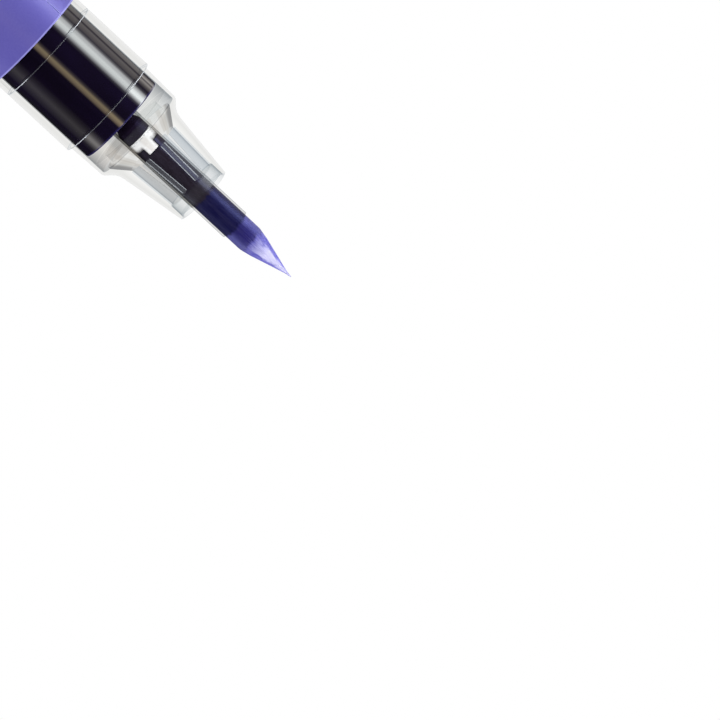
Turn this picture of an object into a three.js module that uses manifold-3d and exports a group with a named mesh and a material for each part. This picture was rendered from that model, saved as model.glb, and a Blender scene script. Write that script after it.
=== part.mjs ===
// A valve-action paint marker with a brush nib, standing on its cap, which is posted on its rear end.
// Units are millimetres. +Z runs along the marker towards the nib, and the origin is the middle of
// the cap's flat end. The camera side of the marker is -Y.
import * as THREE from "three";
import { mergeVertices } from "three/addons/utils/BufferGeometryUtils.js";
import Module from "manifold-3d";

const wasm = await Module();
wasm.setup();

// Faceting
const SIDES = 36;
const ARC_STEP = THREE.MathUtils.degToRad(18);

// Gaps
const SEAT_GAP = 0.05; // between faces that are pressed together
const FIT_GAP = 0.04; // radial, between a plug and the bore that it is pushed into
const RUN_GAP = 0.06; // radial, between a sliding tube and its guide
const END_GAP = 0.2; // left at the end of a travel

// Cap
const CAP_LENGTH = 38.5;
const CAP_WALL = 0.95;
const CAP_FLOOR = 1.6;
const CAP_EDGE = 1;
const CAP_CLEARANCE = 0.1; // radial, round the neck or the spigot
const CAP_SPARE_DEPTH = 2; // the sliding part of the bore is this much deeper than the spigot
const CAP_STEP = 0.5; // the deeper bore is this much narrower
const CAP_BEAD = 0.15; // height of the raised band at the mouth
const CAP_BEAD_LENGTH = 3;
const SHUT_GAP = 0.15; // between the cap's mouth and the shoulder that stops it
const LINER_GRIP = 0.52; // the liner's mouth is this much tighter than the snout's root
const LINER_WALL = 0.75;
const LINER_DRAFT = 0.25; // the liner's wall is this much thicker at its floor
const LINER_SPARE = 1; // between the liner's mouth and the spigot
const LINER_FLOOR = 1.2;
const LINER_POCKET = 2.4; // depth of the pocket that holds the liner

// Barrel, label and end plug
const BARREL_RADIUS = 7.5;
const BARREL_WALL = 1;
const BARREL_LENGTH = 79.3;
const LAP_LENGTH = 5; // the nose's tail slides this far into the barrel
const LAP_LIP = 0.5; // the barrel's wall outside that tail
const SEAM_GAP = 0.12;
const LABEL_THICKNESS = 0.12;
const LABEL_FRONT_MARGIN = 2.4; // bare barrel in front of the label
const LABEL_REAR_MARGIN = 4;
const LABEL_SEAM = 0.25; // width of the gap where the label's edges meet
const LABEL_SEAM_ANGLE = THREE.MathUtils.degToRad(233); // from +X, seen from the nib
const PLUG_FLANGE = 2;
const PLUG_DEPTH = 6; // reaches this far into the barrel
const PLUG_WALL = 1.15;
const SPIGOT_LENGTH = 8;
const SPIGOT_DRAFT = 0.08;
const SPIGOT_FLOOR = 1.2;
const SPIGOT_EDGE = 0.5;

// Nose section
const GRIP_LENGTH = 10.4;
const GRIP_EDGE = 0.12;
const NECK_LENGTH = 5.5;
const NECK_STEP = 0.47; // the neck is this much smaller than the barrel, so the cap stops there
const NECK_DRAFT = 0.18;
const NECK_EDGE = 0.85;
const SHOULDER_SLOPE = THREE.MathUtils.degToRad(45);
const SNOUT_LENGTH = 11.3; // from the shoulder's edge to the front face
const SNOUT_ROOT_RADIUS = 5.47;
const SNOUT_TIP_RADIUS = 4.13;
const SNOUT_ROOT_FILLET = 2.5;
const SNOUT_TIP_EDGE = 0.12;
const SNOUT_ROOT_WALL = 1.65;
const SNOUT_LIP = 0.37; // wall round the bushing
const INNER_SET_BACK = 0.2; // the inner shoulder lies this far behind the outer one
const INNER_SHOULDER = 0.9; // width of the inner shoulder
const INNER_CHAMFER = 0.3;
const INNER_CONE_LENGTH = 2.3;
const BUSH_DEPTH = 2.1; // counterbore for the bushing
const BUSH_LEDGE = 0.31;
const BUSH_RECESS = 0.45;
const RIB_COUNT = 6;
const RIB_WIDTH = 0.84;
const RIB_CLEARANCE = 0.1; // round the sleeve, at the ribs' front
const RIB_LEAD = 0.55; // the ribs open this much more at their rear
const RIB_SLANT = 0.12; // length of each rib's slanted ends
const RIB_ROOT = 0.25; // how deep the ribs are rooted in the wall
const RIB_SET_BACK = 0.1; // between the ribs and the bushing's seat
const RIB_PHASE = THREE.MathUtils.degToRad(3);

// Tank
const TANK_CLEARANCE = 0.1;
const TANK_WALL = 0.85;
const TANK_EDGE = 0.25;
const TANK_FLANGE = 1.5;
const TANK_BOSS = 5;
const SEAL_THICKNESS = 1;
const SEAL_SIDES = 8;
const GROOVE_PLAY = 0.05;
const PAD_THICKNESS = 2.4;
const GASKET_THICKNESS = 1.3;
const GASKET_WIDTH = 1.7;
const BALL_PLAY = 0.3; // between a ball and the tank's wall
const BALL_SPACE = 0.5; // between the two balls
const BALL_GAP = 0.3; // between the balls and the plug that they rest on

// Valve
const FLANGE_THICKNESS = 1.4;
const HOUSING_BOSS = 3.4;
const SOCKET_DEPTH = 3.2; // bore that guides the sleeve
const SEAT_THICKNESS = 1;
const SEAT_PASSAGE = 0.3; // radial, for the ink round the stem
const CHAMBER_RADIUS = 3;
const CHAMBER_WALL = 0.7;
const CHAMBER_RIM = 0.5;
const PORT_RADIUS = 0.7;
const PORT_COUNT = 4;
const VALVE_SEAL_THICKNESS = 0.4;
const HEAD_PASSAGE = 0.6; // radial, for the ink round the head
const HEAD_THICKNESS = 1.4;
const STEM_RADIUS = 0.8;
const PIN_RADIUS = 1;
const PIN_LENGTH = 4.5;
const SPRING_LENGTH = 7.5;
const SPRING_PLAY = 0.45; // radial, between the pin and the wire
const SPRING_WIRE = 0.2; // radius of the wire
const SPRING_TURNS = 7;
const SPRING_STEPS = 8;
const SPRING_SIDES = 5;
const RETAINER_THICKNESS = 1.2;
const RETAINER_PLAY = 0.3; // radial, round the pin

// Nib and what slides with it
const PRESS_TRAVEL = 1.5;
const SLEEVE_RADIUS = 2.145;
const SLEEVE_WALL = 0.245;
const SLEEVE_REACH = 5.55; // out of the snout
const NIB_REACH = 9.95; // out of the sleeve
const NIB_GAP = 0.02;
const NIB_TAPER_LENGTH = 7.3;
const NIB_TAPER_FILLET = 2.5;
const NIB_WAIST_LENGTH = 5.7;
const NIB_WAIST_RADIUS = 1.54;
const NIB_POINT_LENGTH = 0.9;
const NIB_POINT_RADIUS = 0.18;
const NIB_TIP_RADIUS = 0.06;
const FEED_INSET = 0.45; // the feed's rear lies this far inside the sleeve
const FEED_LENGTH = 2.6;
const FEED_CHAMFER_LENGTH = 0.95;
const FEED_CHAMFER = 0.4;
const STEM_SOCKET = 1.5;
const HOLDER_LENGTH = 1.45;
const HOLDER_HOLE = 0.6;
const FINGER_LENGTH = 1.05;
const FINGER_THICKNESS = 0.44;
const FINGER_COUNT = 3;
const FINGER_ANGLE = THREE.MathUtils.degToRad(54);
const FINGER_PLAY = THREE.MathUtils.degToRad(2);
const FINGER_PHASE = THREE.MathUtils.degToRad(-90); // one finger faces -Y

// Colours
const LAVENDER = 0x6a62b8;
const PALE_LAVENDER = 0x8f88d8;
const CLEAR = 0xe8ebec;
const INK = 0x100a1e;
const NIB_BLUE = 0x2b2470;
const WHITE = 0xf2f1ee;
const RUBBER = 0x2a2a2c;
const SILICONE = 0xd4d9da;
const STEEL = 0xb9bcc0;
const FOAM = 0x8a8a8c;

// Radii that follow from the values above
const boreRadius = BARREL_RADIUS - BARREL_WALL;
const lapRadius = BARREL_RADIUS - LAP_LIP;
const neckRadius = BARREL_RADIUS - NECK_STEP;
const neckTopRadius = neckRadius - NECK_DRAFT;
const capBore = neckRadius + CAP_CLEARANCE;
const capRadius = capBore + CAP_WALL;
const linerMouth = SNOUT_ROOT_RADIUS - LINER_GRIP;
const linerRadius = linerMouth + LINER_WALL;
const tankRadius = boreRadius - TANK_CLEARANCE;
const tankBore = tankRadius - TANK_WALL;
const bossRadius = tankBore - FIT_GAP;
const ballRadius = (tankBore - BALL_PLAY - BALL_SPACE / 2) / 2;
const bushSeatRadius = SNOUT_TIP_RADIUS - SNOUT_LIP;
const guideTipRadius = bushSeatRadius - BUSH_LEDGE;
const guideRootRadius = SNOUT_ROOT_RADIUS - SNOUT_ROOT_WALL;
const coneRadius = boreRadius - INNER_SHOULDER;
const sleeveBore = SLEEVE_RADIUS - SLEEVE_WALL;
const nibRadius = sleeveBore - NIB_GAP;
const feedRadius = sleeveBore - FIT_GAP;
const runRadius = SLEEVE_RADIUS + RUN_GAP;
const headRadius = CHAMBER_RADIUS - HEAD_PASSAGE;
const springRadius = PIN_RADIUS + SPRING_PLAY + SPRING_WIRE;

// Heights that follow from the values above, from the cap's flat end up
const shoulderZ = CAP_LENGTH + SHUT_GAP;
const spigotZ = shoulderZ - SPIGOT_LENGTH;
const linerTopZ = spigotZ - LINER_SPARE;
const barrelRearZ = shoulderZ + PLUG_FLANGE;
const seamZ = barrelRearZ + BARREL_LENGTH;
const stepZ = seamZ + GRIP_LENGTH;
const cornerZ = stepZ + NECK_LENGTH;
const rootZ = cornerZ + (neckTopRadius - SNOUT_ROOT_RADIUS) / Math.tan(SHOULDER_SLOPE);
const frontZ = cornerZ + SNOUT_LENGTH;
const tipZ = frontZ + SLEEVE_REACH + NIB_REACH;
const innerZ = cornerZ - INNER_SET_BACK;
const coneTopZ = innerZ + INNER_CHAMFER + INNER_CONE_LENGTH;
const bushSeatZ = frontZ - BUSH_DEPTH;
const flangeTopZ = innerZ - GASKET_THICKNESS - 2 * SEAT_GAP;
const flangeZ = flangeTopZ - FLANGE_THICKNESS;
const tankTopZ = flangeZ - SEAT_GAP;
const seatTopZ = flangeTopZ - SOCKET_DEPTH;
const seatZ = seatTopZ - SEAT_THICKNESS;
const headTopZ = seatZ - VALVE_SEAL_THICKNESS - 2 * SEAT_GAP;
const headZ = headTopZ - HEAD_THICKNESS;
const retainerTopZ = headZ - SPRING_LENGTH;
const retainerZ = retainerTopZ - RETAINER_THICKNESS;
const chamberZ = retainerZ - CHAMBER_RIM;
const plugTopZ = barrelRearZ + PLUG_DEPTH;
const padTopZ = plugTopZ + SEAT_GAP + PAD_THICKNESS;
const tankFlangeZ = padTopZ + SEAT_GAP;
const tankZ = tankFlangeZ + TANK_FLANGE + SEAT_GAP;
const tankBossTopZ = tankZ + TANK_BOSS;
const sleeveZ = seatTopZ + PRESS_TRAVEL + END_GAP;
const sleeveTopZ = frontZ + SLEEVE_REACH;
const feedZ = sleeveZ + FEED_INSET;
const feedTopZ = feedZ + FEED_LENGTH;
const holderZ = feedTopZ + SEAT_GAP;
const holderTopZ = holderZ + HOLDER_LENGTH;
const nibZ = holderTopZ + SEAT_GAP;

// Replaces each corner [radius, height, fillet] by an arc of that fillet's radius.
function withFillets(corners) {
  const outline = [];
  corners.forEach(([r, z, fillet], i) => {
    const at = new THREE.Vector2(r, z);
    if (!fillet) {
      outline.push(at);
      return;
    }
    const [beforeR, beforeZ] = corners[(i + corners.length - 1) % corners.length];
    const [afterR, afterZ] = corners[(i + 1) % corners.length];
    const back = new THREE.Vector2(beforeR, beforeZ).sub(at).normalize();
    const on = new THREE.Vector2(afterR, afterZ).sub(at).normalize();
    const half = Math.acos(THREE.MathUtils.clamp(back.dot(on), -1, 1)) / 2;
    const start = at.clone().addScaledVector(back, fillet / Math.tan(half));
    const centre = at.clone().addScaledVector(back.clone().add(on).normalize(), fillet / Math.sin(half));
    const arm = start.clone().sub(centre);
    const sweep = (Math.PI - 2 * half) * Math.sign(on.cross(back));
    const steps = Math.max(1, Math.ceil(Math.abs(sweep) / ARC_STEP));
    for (let k = 0; k <= steps; k++) {
      const spoke = arm.clone().rotateAround(new THREE.Vector2(), (sweep * k) / steps);
      outline.push(spoke.add(centre));
    }
  });
  return outline;
}

// A solid turned about Z from an outline that starts and ends on the axis, or closes on itself.
// The outline runs anticlockwise with the radius to the right and the height upwards.
function turned(corners) {
  const outline = withFillets(corners);
  const onAxis = outline[0].x === 0 && outline[outline.length - 1].x === 0;
  if (!onAxis) outline.push(outline[0].clone());
  return new THREE.LatheGeometry(outline, SIDES).rotateX(Math.PI / 2);
}

// A ring or tube with a rectangular section.
function ring(inner, outer, low, high) {
  return turned([[inner, low], [outer, low], [outer, high], [inner, high]]);
}

// A flat shape extruded from one height to another.
function prism(shape, low, high) {
  const options = { depth: high - low, bevelEnabled: false, curveSegments: 6 };
  return new THREE.ExtrudeGeometry(shape, options).translate(0, 0, low);
}

// A part of a ring, seen along Z.
function sector(inner, outer, from, to) {
  const shape = new THREE.Shape();
  shape.absarc(0, 0, outer, from, to, false);
  shape.absarc(0, 0, inner, to, from, true);
  return shape;
}

function solid(geometry) {
  const bare = geometry.clone();
  bare.deleteAttribute("normal");
  bare.deleteAttribute("uv");
  const merged = mergeVertices(bare, 1e-4);
  const mesh = new wasm.Mesh({
    numProp: 3,
    vertProperties: new Float32Array(merged.attributes.position.array),
    triVerts: new Uint32Array(merged.index.array),
  });
  return new wasm.Manifold(mesh);
}

function geometryOf(body) {
  const mesh = body.getMesh();
  const geometry = new THREE.BufferGeometry();
  geometry.setAttribute("position", new THREE.BufferAttribute(mesh.vertProperties, 3));
  geometry.setIndex(new THREE.BufferAttribute(mesh.triVerts, 1));
  geometry.computeVertexNormals();
  return geometry;
}

function material(color, roughness, metalness = 0, opacity = 1) {
  const transparent = opacity < 1;
  return new THREE.MeshStandardMaterial({ color, roughness, metalness, opacity, transparent });
}

const clearPlastic = material(CLEAR, 0.08, 0, 0.3);
const lavenderPlastic = material(LAVENDER, 0.35);
const labelFilm = material(PALE_LAVENDER, 0.3);
const inkDark = material(INK, 0.12);
const fibre = material(NIB_BLUE, 0.85);
const whitePlastic = material(WHITE, 0.4);
const blackRubber = material(RUBBER, 0.7);
const paleSilicone = material(SILICONE, 0.5, 0, 0.6);
const steel = material(STEEL, 0.2, 1);
const greyFoam = material(FOAM, 0.9);

function named(name, geometry, surface) {
  const mesh = new THREE.Mesh(geometry, surface);
  mesh.name = name;
  return mesh;
}

// The cap: a closed shell with a flat end to stand on, and the cup inside it that seals the snout.
function capShell() {
  const deepBore = capBore - CAP_STEP;
  const pocketRadius = linerRadius + FIT_GAP;
  const pocketTop = CAP_FLOOR + LINER_POCKET;
  const slideZ = spigotZ - CAP_SPARE_DEPTH;
  const beadRadius = capRadius + CAP_BEAD;
  const beadZ = CAP_LENGTH - CAP_BEAD_LENGTH;
  const corners = [
    [0, 0], [capRadius, 0, CAP_EDGE],
    [capRadius, beadZ - CAP_BEAD], [beadRadius, beadZ],
    [beadRadius, CAP_LENGTH - CAP_BEAD], [capRadius, CAP_LENGTH],
    [capBore, CAP_LENGTH], [capBore, slideZ],
    [deepBore, slideZ - CAP_STEP], [deepBore, pocketTop],
    [pocketRadius, pocketTop], [pocketRadius, CAP_FLOOR], [0, CAP_FLOOR],
  ];
  return named("cap_shell", turned(corners), lavenderPlastic);
}

function capLiner() {
  const low = CAP_FLOOR + SEAT_GAP;
  const corners = [
    [0, low], [linerRadius, low], [linerRadius, linerTopZ], [linerMouth, linerTopZ],
    [linerMouth - LINER_DRAFT, low + LINER_FLOOR], [0, low + LINER_FLOOR],
  ];
  return named("cap_liner", turned(corners), whitePlastic);
}

// The outer case: end plug, barrel, label and nose section.
function endPlug() {
  const plugRadius = boreRadius - FIT_GAP;
  const hollow = plugRadius - PLUG_WALL;
  const corners = [
    [0, spigotZ], [neckRadius - SPIGOT_DRAFT, spigotZ, SPIGOT_EDGE],
    [neckRadius, shoulderZ], [BARREL_RADIUS, shoulderZ],
    [BARREL_RADIUS, barrelRearZ], [plugRadius, barrelRearZ],
    [plugRadius, plugTopZ], [hollow, plugTopZ],
    [hollow, spigotZ + SPIGOT_FLOOR], [0, spigotZ + SPIGOT_FLOOR],
  ];
  return named("end_plug", turned(corners), lavenderPlastic);
}

function barrel() {
  const lapZ = seamZ - LAP_LENGTH - END_GAP;
  const low = barrelRearZ + SEAT_GAP;
  const corners = [
    [boreRadius, low], [BARREL_RADIUS, low], [BARREL_RADIUS, seamZ],
    [lapRadius, seamZ], [lapRadius, lapZ], [boreRadius, lapZ],
  ];
  return named("barrel", turned(corners), clearPlastic);
}

function label() {
  const low = barrelRearZ + LABEL_REAR_MARGIN;
  const high = seamZ - LABEL_FRONT_MARGIN;
  const outer = BARREL_RADIUS + LABEL_THICKNESS;
  const wrap = solid(ring(BARREL_RADIUS, outer, low, high));
  const slit = new THREE.BoxGeometry(2 * LABEL_THICKNESS + 1, LABEL_SEAM, high - low + 1);
  slit.translate(BARREL_RADIUS, 0, (low + high) / 2).rotateZ(LABEL_SEAM_ANGLE);
  return named("label", geometryOf(wrap.subtract(solid(slit))), labelFilm);
}

function noseShell() {
  return turned([
    [boreRadius, seamZ - LAP_LENGTH], [lapRadius - FIT_GAP, seamZ - LAP_LENGTH],
    [lapRadius - FIT_GAP, seamZ + SEAM_GAP], [BARREL_RADIUS, seamZ + SEAM_GAP],
    [BARREL_RADIUS, stepZ, GRIP_EDGE], [neckRadius, stepZ],
    [neckTopRadius, cornerZ, NECK_EDGE], [SNOUT_ROOT_RADIUS, rootZ, SNOUT_ROOT_FILLET],
    [SNOUT_TIP_RADIUS, frontZ, SNOUT_TIP_EDGE], [bushSeatRadius, frontZ],
    [bushSeatRadius, bushSeatZ], [guideTipRadius, bushSeatZ],
    [guideRootRadius, coneTopZ], [coneRadius, innerZ + INNER_CHAMFER],
    [coneRadius, innerZ], [boreRadius, innerZ],
  ]);
}

// One guide rib, drawn with the radius along X and the height along Y, then stood up.
function guideRib(angle) {
  const rearInner = SLEEVE_RADIUS + RIB_CLEARANCE + RIB_LEAD;
  const frontInner = SLEEVE_RADIUS + RIB_CLEARANCE;
  const low = coneTopZ + RIB_SET_BACK;
  const high = bushSeatZ - RIB_SET_BACK;
  const outline = new THREE.Shape([
    new THREE.Vector2(guideRootRadius + RIB_ROOT, low),
    new THREE.Vector2(guideTipRadius + RIB_ROOT, high),
    new THREE.Vector2(frontInner, high - RIB_SLANT),
    new THREE.Vector2(rearInner, low + RIB_SLANT),
  ]);
  return prism(outline, -RIB_WIDTH / 2, RIB_WIDTH / 2).rotateX(Math.PI / 2).rotateZ(angle);
}

function noseSection() {
  let nose = solid(noseShell());
  for (let i = 0; i < RIB_COUNT; i++) {
    const angle = RIB_PHASE + (i * 2 * Math.PI) / RIB_COUNT;
    nose = nose.add(solid(guideRib(angle)));
  }
  return named("nose_section", geometryOf(nose), clearPlastic);
}

function frontBushing() {
  const bush = ring(runRadius, bushSeatRadius - FIT_GAP, bushSeatZ + SEAT_GAP, frontZ - BUSH_RECESS);
  return named("front_bushing", bush, clearPlastic);
}

// An O-ring that seals against the tank's wall, and the groove that it lies in.
const sealMiddle = tankBore - NIB_GAP - SEAL_THICKNESS / 2;
const grooveRadius = sealMiddle - SEAL_THICKNESS / 2 - NIB_GAP;
const grooveHalf = SEAL_THICKNESS / 2 + GROOVE_PLAY;

function sealRing(name, z) {
  const section = [];
  for (let i = 0; i < SEAL_SIDES; i++) {
    const a = (i * 2 * Math.PI) / SEAL_SIDES;
    const reach = SEAL_THICKNESS / 2;
    section.push([sealMiddle + reach * Math.cos(a), z + reach * Math.sin(a)]);
  }
  return named(name, turned(section), blackRubber);
}

// The tank, its two seals, its rear plug, the pad behind it and the balls inside it.
function tank() {
  const corners = [
    [tankBore, tankZ], [tankRadius, tankZ], [tankRadius, tankTopZ, TANK_EDGE], [tankBore, tankTopZ],
  ];
  return named("tank", turned(corners), inkDark);
}

const tankSealZ = tankZ + TANK_BOSS / 2;
const housingSealZ = flangeZ - HOUSING_BOSS / 2;

function tankPlug() {
  const corners = [
    [0, tankFlangeZ], [tankRadius, tankFlangeZ], [tankRadius, tankFlangeZ + TANK_FLANGE],
    [bossRadius, tankFlangeZ + TANK_FLANGE], [bossRadius, tankSealZ - grooveHalf],
    [grooveRadius, tankSealZ - grooveHalf], [grooveRadius, tankSealZ + grooveHalf],
    [bossRadius, tankSealZ + grooveHalf], [bossRadius, tankBossTopZ], [0, tankBossTopZ],
  ];
  return named("tank_plug", turned(corners), whitePlastic);
}

function cushionPad() {
  const low = plugTopZ + SEAT_GAP;
  const outer = boreRadius - TANK_CLEARANCE;
  return named("cushion_pad", turned([[0, low], [outer, low], [outer, padTopZ], [0, padTopZ]]), greyFoam);
}

function mixingBall(name, side) {
  const ball = new THREE.SphereGeometry(ballRadius, 16, 10).rotateX(Math.PI / 2);
  const mesh = named(name, ball, steel);
  const offset = side * (ballRadius + BALL_SPACE / 2);
  mesh.position.set(offset, 0, tankBossTopZ + BALL_GAP + ballRadius);
  return mesh;
}

// The valve: its housing closes the tank's front, and its chamber holds the plunger and the spring.
function housingBody() {
  const chamberOuter = CHAMBER_RADIUS + CHAMBER_WALL;
  const bossZ = flangeZ - HOUSING_BOSS;
  const seatHole = STEM_RADIUS + SEAT_PASSAGE;
  return turned([
    [runRadius, seatTopZ], [seatHole, seatTopZ], [seatHole, seatZ],
    [CHAMBER_RADIUS, seatZ], [CHAMBER_RADIUS, chamberZ], [chamberOuter, chamberZ],
    [chamberOuter, bossZ], [bossRadius, bossZ], [bossRadius, housingSealZ - grooveHalf],
    [grooveRadius, housingSealZ - grooveHalf], [grooveRadius, housingSealZ + grooveHalf],
    [bossRadius, housingSealZ + grooveHalf], [bossRadius, flangeZ], [tankRadius, flangeZ],
    [tankRadius, flangeTopZ], [runRadius, flangeTopZ],
  ]);
}

function valveHousing() {
  let housing = solid(housingBody());
  const portZ = (flangeZ - HOUSING_BOSS + retainerTopZ) / 2;
  const reach = CHAMBER_RADIUS + 2 * CHAMBER_WALL;
  for (let i = 0; i < PORT_COUNT; i++) {
    const port = new THREE.CylinderGeometry(PORT_RADIUS, PORT_RADIUS, reach, 10);
    port.rotateZ(Math.PI / 2).translate(reach / 2 + PIN_RADIUS, 0, portZ);
    port.rotateZ(((i + 0.5) * 2 * Math.PI) / PORT_COUNT);
    housing = housing.subtract(solid(port));
  }
  return named("valve_housing", geometryOf(housing), clearPlastic);
}

function tankGasket() {
  const low = flangeTopZ + SEAT_GAP;
  const gasket = ring(tankRadius - GASKET_WIDTH, tankRadius, low, low + GASKET_THICKNESS);
  return named("tank_gasket", gasket, paleSilicone);
}

function valvePlunger() {
  const stemTop = feedZ + STEM_SOCKET - SEAT_GAP;
  const pinZ = headZ - PIN_LENGTH;
  const corners = [
    [0, pinZ], [PIN_RADIUS, pinZ], [PIN_RADIUS, headZ], [headRadius, headZ],
    [headRadius, headTopZ], [STEM_RADIUS, headTopZ], [STEM_RADIUS, stemTop], [0, stemTop],
  ];
  return named("valve_plunger", turned(corners), whitePlastic);
}

function valveSeal() {
  const low = headTopZ + SEAT_GAP;
  const seal = ring(STEM_RADIUS + FIT_GAP, headRadius, low, low + VALVE_SEAL_THICKNESS);
  return named("valve_seal", seal, blackRubber);
}

function springRetainer() {
  const disc = ring(PIN_RADIUS + RETAINER_PLAY, CHAMBER_RADIUS - FIT_GAP, retainerZ, retainerTopZ);
  return named("spring_retainer", disc, whitePlastic);
}

// The spring's wire: one tube along a helix, closed at both ends.
function springPoint(t) {
  const low = retainerTopZ + SEAT_GAP + SPRING_WIRE;
  const high = headZ - SEAT_GAP - SPRING_WIRE;
  const a = t * SPRING_TURNS * 2 * Math.PI;
  return new THREE.Vector3(springRadius * Math.cos(a), springRadius * Math.sin(a), low + t * (high - low));
}

function springGeometry() {
  const steps = SPRING_TURNS * SPRING_STEPS;
  const positions = [];
  const faces = [];
  for (let i = 0; i <= steps; i++) {
    const centre = springPoint(i / steps);
    const out = new THREE.Vector3(centre.x, centre.y, 0).normalize();
    for (let k = 0; k < SPRING_SIDES; k++) {
      const a = (k * 2 * Math.PI) / SPRING_SIDES;
      const point = centre.clone().addScaledVector(out, SPRING_WIRE * Math.cos(a));
      point.z += SPRING_WIRE * Math.sin(a);
      positions.push(point.x, point.y, point.z);
    }
  }
  for (let i = 0; i < steps; i++) {
    for (let k = 0; k < SPRING_SIDES; k++) {
      const a = i * SPRING_SIDES + k;
      const b = i * SPRING_SIDES + ((k + 1) % SPRING_SIDES);
      faces.push(a, a + SPRING_SIDES, b, b, a + SPRING_SIDES, b + SPRING_SIDES);
    }
  }
  const last = steps * SPRING_SIDES;
  for (let k = 1; k < SPRING_SIDES - 1; k++) {
    faces.push(0, k, k + 1, last, last + k + 1, last + k);
  }
  const geometry = new THREE.BufferGeometry();
  geometry.setAttribute("position", new THREE.Float32BufferAttribute(positions, 3));
  geometry.setIndex(faces);
  geometry.computeVertexNormals();
  return geometry;
}

// Least distance between the surfaces of two neighbouring turns, measured on points of the wire.
function springGap() {
  const count = SPRING_TURNS * SPRING_STEPS;
  let least = Infinity;
  for (let i = 0; i <= count; i++) {
    for (let j = i + SPRING_STEPS / 2 + 1; j <= count; j++) {
      least = Math.min(least, springPoint(i / count).distanceTo(springPoint(j / count)));
    }
  }
  return least - 2 * SPRING_WIRE;
}

function valveSpring() {
  console.log("valve_spring: least gap to itself " + springGap().toFixed(2) + " mm");
  return named("valve_spring", springGeometry(), steel);
}

// The nib unit, which slides as one: feed, holder, nib and sleeve.
function inkFeed() {
  const tail = feedRadius - FEED_CHAMFER;
  const socket = STEM_RADIUS + FIT_GAP;
  const corners = [
    [0, feedZ + STEM_SOCKET], [socket, feedZ + STEM_SOCKET], [socket, feedZ], [tail, feedZ],
    [feedRadius, feedZ + FEED_CHAMFER_LENGTH], [feedRadius, feedTopZ], [0, feedTopZ],
  ];
  return named("ink_feed", turned(corners), inkDark);
}

function fingerShapes(inner, outer, play) {
  const shapes = [];
  for (let i = 0; i < FINGER_COUNT; i++) {
    const middle = FINGER_PHASE + (i * 2 * Math.PI) / FINGER_COUNT;
    const half = FINGER_ANGLE / 2 + play;
    shapes.push(sector(inner, outer, middle - half, middle + half));
  }
  return shapes;
}

function nibHolder() {
  let holder = solid(ring(HOLDER_HOLE, feedRadius, holderZ, holderTopZ));
  const root = holderTopZ - FINGER_THICKNESS;
  const inner = feedRadius - FINGER_THICKNESS;
  for (const shape of fingerShapes(inner, feedRadius - NIB_GAP, 0)) {
    holder = holder.add(solid(prism(shape, root, holderTopZ + FINGER_LENGTH)));
  }
  return named("nib_holder", geometryOf(holder), whitePlastic);
}

function nibBody() {
  return turned([
    [0, nibZ], [nibRadius, nibZ], [nibRadius, tipZ - NIB_TAPER_LENGTH, NIB_TAPER_FILLET],
    [NIB_WAIST_RADIUS, tipZ - NIB_WAIST_LENGTH], [NIB_POINT_RADIUS, tipZ - NIB_POINT_LENGTH],
    [NIB_TIP_RADIUS, tipZ - NIB_TIP_RADIUS], [0, tipZ],
  ]);
}

function brushNib() {
  let nib = solid(nibBody());
  const inner = feedRadius - FINGER_THICKNESS - FIT_GAP;
  const notchTop = holderTopZ + FINGER_LENGTH + SEAT_GAP;
  for (const shape of fingerShapes(inner, SLEEVE_RADIUS, FINGER_PLAY)) {
    nib = nib.subtract(solid(prism(shape, holderTopZ, notchTop)));
  }
  return named("brush_nib", geometryOf(nib), fibre);
}

function nibSleeve() {
  return named("nib_sleeve", ring(sleeveBore, SLEEVE_RADIUS, sleeveZ, sleeveTopZ), clearPlastic);
}

const cap = new THREE.Group().add(capShell(), capLiner());
const shell = new THREE.Group().add(endPlug(), barrel(), label(), noseSection(), frontBushing());
const reservoir = new THREE.Group().add(
  tank(),
  tankPlug(),
  sealRing("tank_plug_seal", tankSealZ),
  cushionPad(),
  mixingBall("mixing_ball_a", -1),
  mixingBall("mixing_ball_b", 1),
);
const valve = new THREE.Group().add(
  valveHousing(),
  sealRing("housing_seal", housingSealZ),
  tankGasket(),
  springRetainer(),
  valveSpring(),
);
const nibUnit = new THREE.Group().add(
  valvePlunger(),
  valveSeal(),
  inkFeed(),
  nibHolder(),
  nibSleeve(),
  brushNib(),
);

const marker = new THREE.Group().add(cap, shell, reservoir, valve, nibUnit);
export default marker;
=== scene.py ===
"""A paint marker with a pointed brush nib, standing on the cap that is posted on its rear end.

Lengths are in millimetres, and turned into metres where a mesh, a light or the camera is made.
+Z runs towards the nib, and the side that the photograph shows faces -Y.
"""

from functools import partial
from math import acos, ceil, copysign, cos, hypot, pi, radians, sin, tan

import bmesh
import bpy
from mathutils import Matrix, Vector


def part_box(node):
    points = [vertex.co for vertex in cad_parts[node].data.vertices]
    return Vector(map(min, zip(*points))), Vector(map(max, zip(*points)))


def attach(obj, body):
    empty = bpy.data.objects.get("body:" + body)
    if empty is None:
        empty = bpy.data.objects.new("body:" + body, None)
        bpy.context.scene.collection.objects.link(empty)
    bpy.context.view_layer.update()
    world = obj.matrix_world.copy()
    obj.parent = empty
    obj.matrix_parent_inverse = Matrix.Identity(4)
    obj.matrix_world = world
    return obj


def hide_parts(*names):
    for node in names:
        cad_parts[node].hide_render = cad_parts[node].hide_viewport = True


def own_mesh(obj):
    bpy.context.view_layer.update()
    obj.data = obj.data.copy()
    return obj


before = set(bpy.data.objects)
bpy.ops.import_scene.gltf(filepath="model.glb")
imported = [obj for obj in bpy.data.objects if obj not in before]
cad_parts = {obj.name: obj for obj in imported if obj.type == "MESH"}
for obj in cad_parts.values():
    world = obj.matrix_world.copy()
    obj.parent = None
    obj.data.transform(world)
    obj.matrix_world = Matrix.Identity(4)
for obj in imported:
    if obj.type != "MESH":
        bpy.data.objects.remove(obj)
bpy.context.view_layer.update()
scene = bpy.context.scene

MM = 0.001
SIDES = 144
ARC_STEP = radians(12)
END_SLOPE = 0.8


# Sizes

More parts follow.
